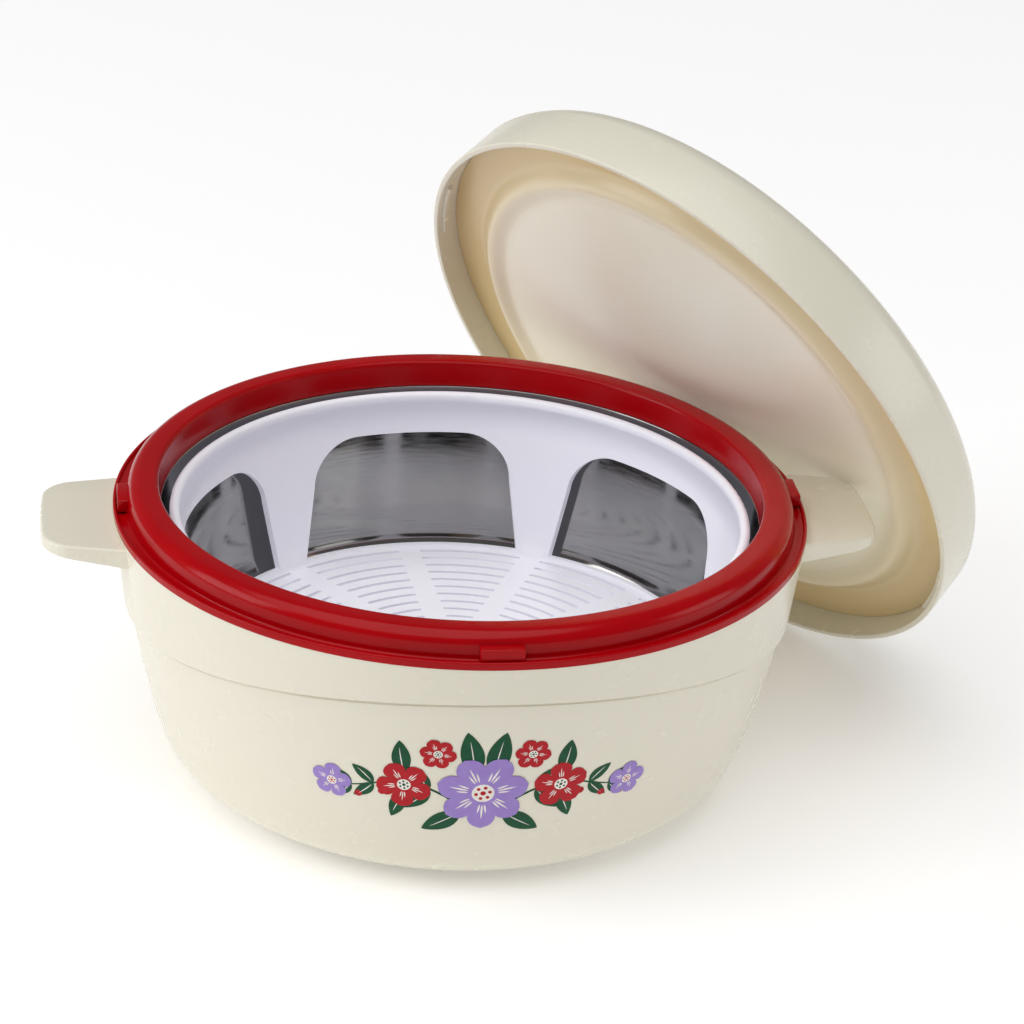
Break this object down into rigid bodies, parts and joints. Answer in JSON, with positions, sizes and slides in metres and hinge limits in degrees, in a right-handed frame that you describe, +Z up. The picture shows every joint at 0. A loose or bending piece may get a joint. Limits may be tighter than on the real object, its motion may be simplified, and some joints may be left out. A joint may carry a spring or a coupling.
{
  "type": "insulated food casserole",
  "caption": "Round insulated casserole pot with two tab handles, a steel liner under a red collar, a slotted lift-out basket and a twist-lock lid that is taken off.",
  "frame": {"origin": "middle of the pot's flat base, on the surface that it stands on", "axes": "+Z up along the pot's axis, handles along X, the pot's front to -Y; the lid leans on the pot behind it to +X +Y"},
  "size_m": [0.3329, 0.2992, 0.2196],
  "materials": {
    "shell": "ivory moulded polypropylene, soft gloss",
    "plug": "ivory moulded plug",
    "foam": "rigid polyurethane foam",
    "liner": "deep drawn stainless steel, mirror polished",
    "collar": "deep red moulded plastic, glossy",
    "basket": "white moulded polypropylene",
    "lid": "ivory moulded polypropylene, soft gloss",
    "lid_panel": "ivory moulded polypropylene, soft gloss",
    "lid_foam": "rigid polyurethane foam"
  },
  "bodies": {
    "pot": {"outer_shell": "shell", "base_plug": "plug", "body_foam": "foam", "steel_liner": "liner", "collar_ring": "collar"},
    "basket": {"chapati_basket": "basket"},
    "lid": {"lid_shell": "lid", "lid_inner_panel": "lid_panel", "lid_foam": "lid_foam"}
  },
  "joints": [
    {"name": "basket_lift", "type": "slide", "parent": "pot", "child": "basket", "axis": [0, 0, 1], "range_m": [0, 0.04]},
    {"name": "lid_lift", "type": "slide", "parent": "pot", "child": "lid", "axis": [0.6959, 0.5405, 0.4729], "range_m": [0, 0.12]}
  ]
}
